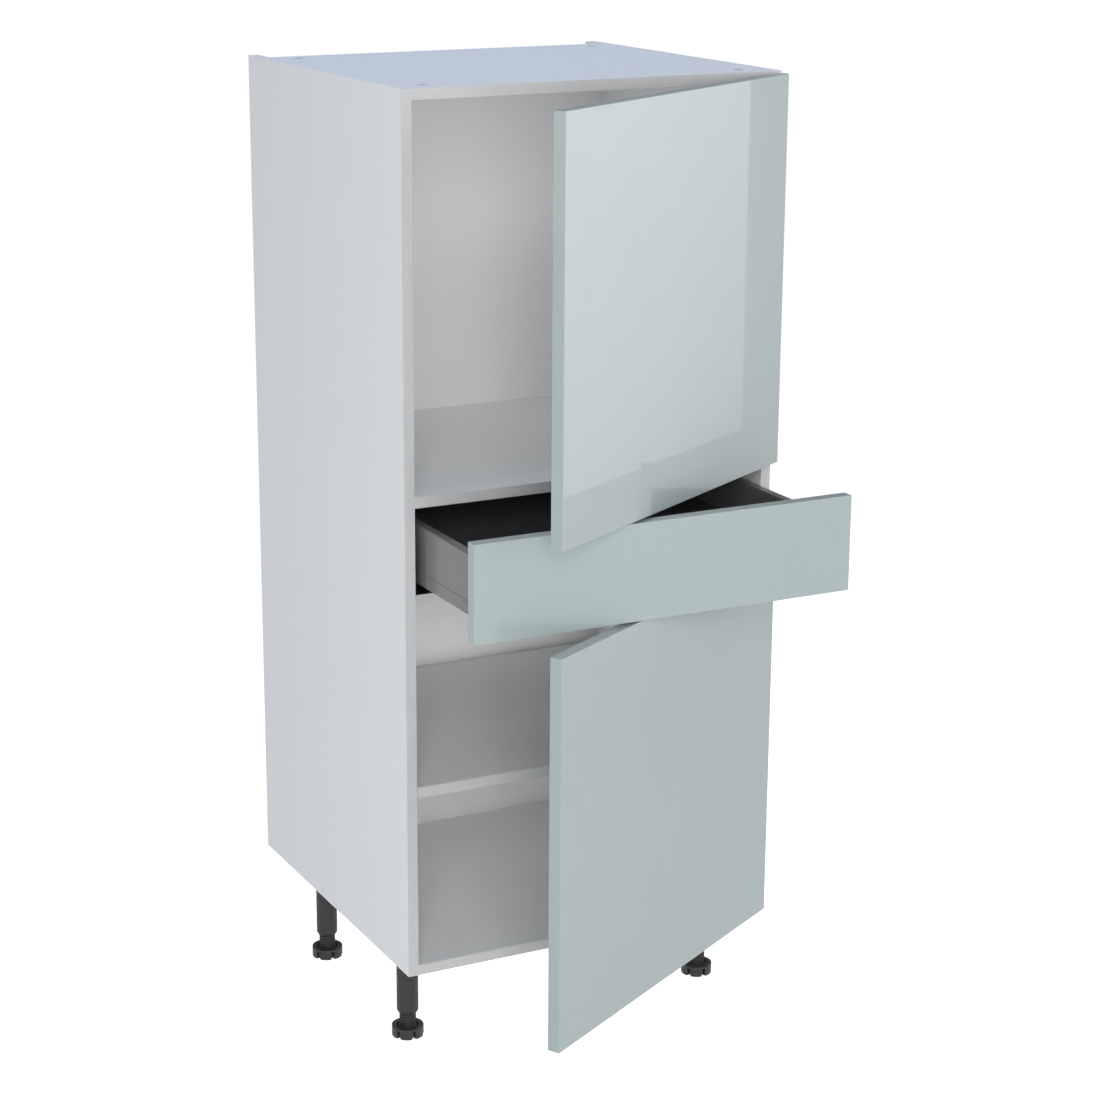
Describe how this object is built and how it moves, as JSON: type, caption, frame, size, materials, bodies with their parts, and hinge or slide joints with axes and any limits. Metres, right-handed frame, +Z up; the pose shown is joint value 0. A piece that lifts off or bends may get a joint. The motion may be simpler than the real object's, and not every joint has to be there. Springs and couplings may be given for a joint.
{
  "type": "pantry cabinet",
  "caption": "Tall free-standing storage cabinet on screw-adjustable legs, with hinged gloss doors above and below a metal-sided drawer on full-extension runners.",
  "frame": {"origin": "on the floor under the middle of the carcass's outline, with the feet at their drawn height", "axes": "+X to the right seen from the front, -Y from the front towards the user, +Z up"},
  "size_m": [0.6018, 0.8849, 1.444],
  "materials": {
    "white_board": "matt white melamine on particle board",
    "back_board": "matt white foil on thin fibreboard",
    "edging": "matt white edging strip",
    "cam_zinc": "plain die-cast zinc",
    "plated_steel": "nickel-plated steel",
    "beech": "plain beech",
    "leg_plastic": "dark grey moulded plastic",
    "gloss_front": "gloss pale grey-green lacquer on fibreboard",
    "bumper": "soft clear bumper",
    "black_rail": "black coated sheet steel",
    "drawer_metal": "smooth semi-gloss dark grey coat on sheet steel",
    "dark_board": "matt near-black foil on particle board"
  },
  "bodies": {
    "carcass": {"left_side": "white_board", "right_side": "white_board", "top_panel": "white_board", "bottom_panel": "white_board", "fixed_shelf": "white_board", "lower_shelf": "white_board", "back_panel": "back_board", "carcass_edging": "edging", "fixed_shelf_edging": "edging", "lower_shelf_edging": "edging", "cam_locks": "cam_zinc", "cam_bolts": "plated_steel", "dowels": "beech", "shelf_pins": "plated_steel", "leg_sockets": "leg_plastic", "leg_screws": "plated_steel", "front_left_leg": "leg_plastic", "front_right_leg": "leg_plastic", "rear_left_leg": "leg_plastic", "rear_right_leg": "leg_plastic", "hinge_plates": "plated_steel", "plate_screws": "plated_steel", "upper_hinge_arms": "plated_steel", "lower_hinge_arms": "plated_steel", "left_runner_rail": "black_rail", "right_runner_rail": "black_rail", "runner_screws": "plated_steel"},
    "front_left_levelling_foot": {"front_left_foot": "leg_plastic"},
    "front_right_levelling_foot": {"front_right_foot": "leg_plastic"},
    "rear_left_levelling_foot": {"rear_left_foot": "leg_plastic"},
    "rear_right_levelling_foot": {"rear_right_foot": "leg_plastic"},
    "upper_door_leaf": {"upper_door": "gloss_front", "upper_hinge_cups": "plated_steel", "upper_cup_screws": "plated_steel", "upper_door_bumpers": "bumper"},
    "upper_door_links": {"upper_hinge_links": "plated_steel"},
    "lower_door_leaf": {"lower_door": "gloss_front", "lower_hinge_cups": "plated_steel", "lower_cup_screws": "plated_steel", "lower_door_bumpers": "bumper"},
    "lower_door_links": {"lower_hinge_links": "plated_steel"},
    "drawer": {"drawer_front": "gloss_front", "left_drawer_side": "drawer_metal", "right_drawer_side": "drawer_metal", "drawer_base": "dark_board", "drawer_back": "dark_board", "left_front_bracket": "plated_steel", "right_front_bracket": "plated_steel", "left_cover_cap": "drawer_metal", "right_cover_cap": "drawer_metal", "left_runner_carrier": "plated_steel", "right_runner_carrier": "plated_steel", "drawer_screws": "plated_steel", "drawer_bumpers": "bumper"},
    "left_middle_runner": {"left_runner_slide": "plated_steel"},
    "right_middle_runner": {"right_runner_slide": "plated_steel"}
  },
  "joints": [
    {"name": "upper_door_swing", "type": "hinge", "parent": "carcass", "child": "upper_door_leaf", "pos_m": [0.2925, -0.297, 1.1545], "axis": [0, 0, 1], "range_deg": [-30, 80]},
    {"name": "upper_link_swing", "type": "hinge", "parent": "carcass", "child": "upper_door_links", "pos_m": [0.266, -0.2915, 1.1545], "axis": [0, 0, 1], "range_deg": [-24, 9]},
    {"name": "lower_door_swing", "type": "hinge", "parent": "carcass", "child": "lower_door_leaf", "pos_m": [0.2925, -0.297, 0.4345], "axis": [0, 0, 1], "range_deg": [-30, 80]},
    {"name": "lower_link_swing", "type": "hinge", "parent": "carcass", "child": "lower_door_links", "pos_m": [0.266, -0.2915, 0.4345], "axis": [0, 0, 1], "range_deg": [-24, 9]},
    {"name": "drawer_slide", "type": "slide", "parent": "carcass", "child": "drawer", "axis": [0, -1, 0], "range_m": [-0.2, 0.3]},
    {"name": "left_middle_runner_slide", "type": "slide", "parent": "carcass", "child": "left_middle_runner", "axis": [0, -1, 0], "range_m": [-0.1, 0.15]},
    {"name": "right_middle_runner_slide", "type": "slide", "parent": "carcass", "child": "right_middle_runner", "axis": [0, -1, 0], "range_m": [-0.1, 0.15]},
    {"name": "front_left_foot_height", "type": "slide", "parent": "carcass", "child": "front_left_levelling_foot", "axis": [0, 0, -1], "range_m": [-0.019, 0.03]},
    {"name": "front_right_foot_height", "type": "slide", "parent": "carcass", "child": "front_right_levelling_foot", "axis": [0, 0, -1], "range_m": [-0.019, 0.03]},
    {"name": "rear_left_foot_height", "type": "slide", "parent": "carcass", "child": "rear_left_levelling_foot", "axis": [0, 0, -1], "range_m": [-0.019, 0.03]},
    {"name": "rear_right_foot_height", "type": "slide", "parent": "carcass", "child": "rear_right_levelling_foot", "axis": [0, 0, -1], "range_m": [-0.019, 0.03]}
  ],
  "couplings": [
    {"joint": "upper_link_swing", "follows": "upper_door_swing", "ratio": -0.3},
    {"joint": "lower_link_swing", "follows": "lower_door_swing", "ratio": -0.3},
    {"joint": "left_middle_runner_slide", "follows": "drawer_slide", "ratio": 0.5},
    {"joint": "right_middle_runner_slide", "follows": "drawer_slide", "ratio": 0.5}
  ]
}
